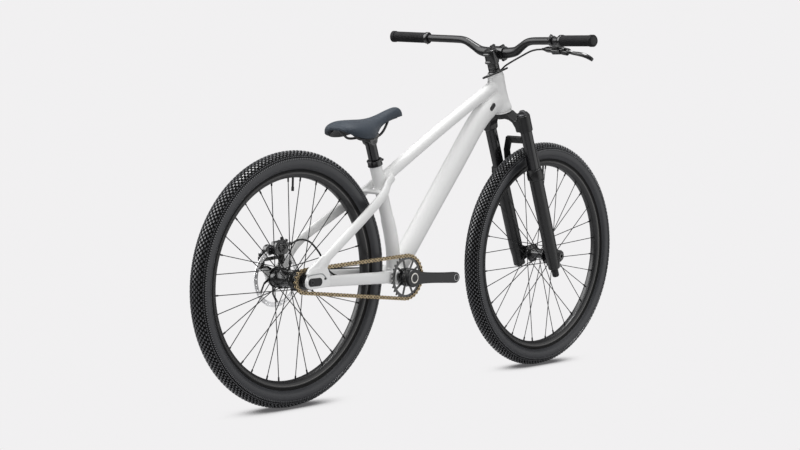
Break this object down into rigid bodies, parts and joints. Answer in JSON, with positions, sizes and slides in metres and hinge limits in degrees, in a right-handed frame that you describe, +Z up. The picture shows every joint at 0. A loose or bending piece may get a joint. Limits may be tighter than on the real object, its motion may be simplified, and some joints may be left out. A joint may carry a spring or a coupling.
{
  "type": "dirt jump bike",
  "caption": "Hardtail dirt jump bike with a sprung telescopic fork, a low sloping frame, a single-gear chain drive, knobbly tyres and a disc brake on the rear wheel.",
  "frame": {"origin": "on the ground under the middle of the wheelbase, on the bike's middle plane", "axes": "+X to the front wheel, +Y to the rider's left, +Z up"},
  "size_m": [1.751, 0.7828, 1.0155],
  "materials": {
    "frame_paint": "satin",
    "tyre": "matte",
    "inner_tube": "matte",
    "rim": "satin",
    "spokes": "satin",
    "rotor": "brushed",
    "chain": "oiled",
    "black_alloy": "anodised",
    "black_paint": "satin",
    "steel": "plain",
    "pad": "matte",
    "grip": "matte",
    "saddle": "matte",
    "plastic": "matte"
  },
  "bodies": {
    "frame": {"top_tube": "frame_paint", "down_tube": "frame_paint", "seat_tube": "frame_paint", "chainstay_right": "frame_paint", "chainstay_left": "frame_paint", "seatstay_right": "frame_paint", "seatstay_left": "frame_paint", "seatstay_bridge": "frame_paint", "head_tube": "frame_paint", "bb_shell": "frame_paint", "dropout_insert": "plastic", "cable_port_plug": "plastic", "seat_collar": "black_alloy", "headset_cup_lower": "black_alloy", "headset_cup_upper": "black_alloy", "bottom_bracket": "black_alloy", "chain": "chain", "rear_axle": "black_alloy", "brake_caliper": "black_alloy", "brake_hose": "plastic"},
    "steering": {"headset_spacers": "black_alloy", "stem": "black_alloy", "stem_faceplate": "black_alloy", "top_cap": "black_alloy", "handlebar": "black_paint", "grip_right": "grip", "grip_left": "grip", "brake_master": "black_alloy", "lever_pin": "steel", "fork_crown": "black_paint", "stanchion_right": "black_paint", "stanchion_left": "black_paint", "leg_cap_right": "black_alloy", "leg_cap_left": "black_alloy"},
    "fork_sliders": {"fork_lowers": "black_paint", "damper_rod": "steel", "air_rod": "steel", "rebound_knob": "plastic", "front_axle": "black_alloy"},
    "front_wheel": {"front_hub_spokes": "spokes", "front_rim": "rim", "front_tyre": "tyre", "front_inner_tube": "inner_tube"},
    "rear_wheel": {"rear_hub_spokes": "spokes", "rear_rim": "rim", "rear_tyre": "tyre", "rear_inner_tube": "inner_tube", "rear_rotor": "rotor"},
    "driver": {"rear_cog": "rotor"},
    "crankset": {"chainring": "black_alloy", "crank_right": "black_paint", "crank_left": "black_paint"},
    "seat": {"seatpost": "black_paint", "rail_clamp": "black_alloy", "saddle_rails": "steel", "saddle_base": "plastic", "saddle_cover": "saddle"},
    "lever": {"brake_lever": "black_paint"},
    "pad_inner": {"brake_pad_inner": "pad"},
    "pad_outer": {"brake_pad_outer": "pad"}
  },
  "joints": [
    {"name": "steering", "type": "hinge", "parent": "frame", "child": "steering", "pos_m": [0.3299, 0, 0.789], "axis": [-0.3584, 0, 0.9336], "range_deg": [-70, 70], "deforming": ["brake_hose"]},
    {"name": "fork_travel", "type": "slide", "parent": "steering", "child": "fork_sliders", "axis": [-0.3584, 0, 0.9336], "range_m": [0, 0.1], "stiffness_N_per_m": 8000, "springref_m": -0.012},
    {"name": "front_wheel_spin", "type": "hinge", "parent": "fork_sliders", "child": "front_wheel", "pos_m": [0.535, 0, 0.344], "axis": [0, 1, 0], "continuous": true},
    {"name": "rear_wheel_spin", "type": "hinge", "parent": "frame", "child": "rear_wheel", "pos_m": [-0.535, 0, 0.344], "axis": [0, 1, 0], "continuous": true},
    {"name": "crank_spin", "type": "hinge", "parent": "frame", "child": "crankset", "pos_m": [-0.133, 0, 0.326], "axis": [0, 1, 0], "continuous": true},
    {"name": "driver_spin", "type": "hinge", "parent": "frame", "child": "driver", "pos_m": [-0.535, 0, 0.344], "axis": [0, 1, 0], "continuous": true},
    {"name": "brake_lever", "type": "hinge", "parent": "steering", "child": "lever", "pos_m": [0.3103, -0.249, 0.9663], "axis": [-0.6743, 0, -0.7385], "range_deg": [0, 22], "stiffness_Nm_per_rad": 0.5, "springref_deg": -11.46},
    {"name": "pad_inner_slide", "type": "slide", "parent": "frame", "child": "pad_inner", "axis": [0, 1, 0], "range_m": [0, 0.0005]},
    {"name": "pad_outer_slide", "type": "slide", "parent": "frame", "child": "pad_outer", "axis": [0, -1, 0], "range_m": [0, 0.0005]},
    {"name": "seatpost_height", "type": "slide", "parent": "frame", "child": "seat", "axis": [-0.3387, 0, 0.9409], "range_m": [-0.03, 0.05]}
  ],
  "couplings": [
    {"joint": "driver_spin", "follows": "crank_spin", "ratio": 2},
    {"joint": "pad_inner_slide", "follows": "brake_lever", "m_per_rad": 0.0013},
    {"joint": "pad_outer_slide", "follows": "brake_lever", "m_per_rad": 0.0013}
  ]
}
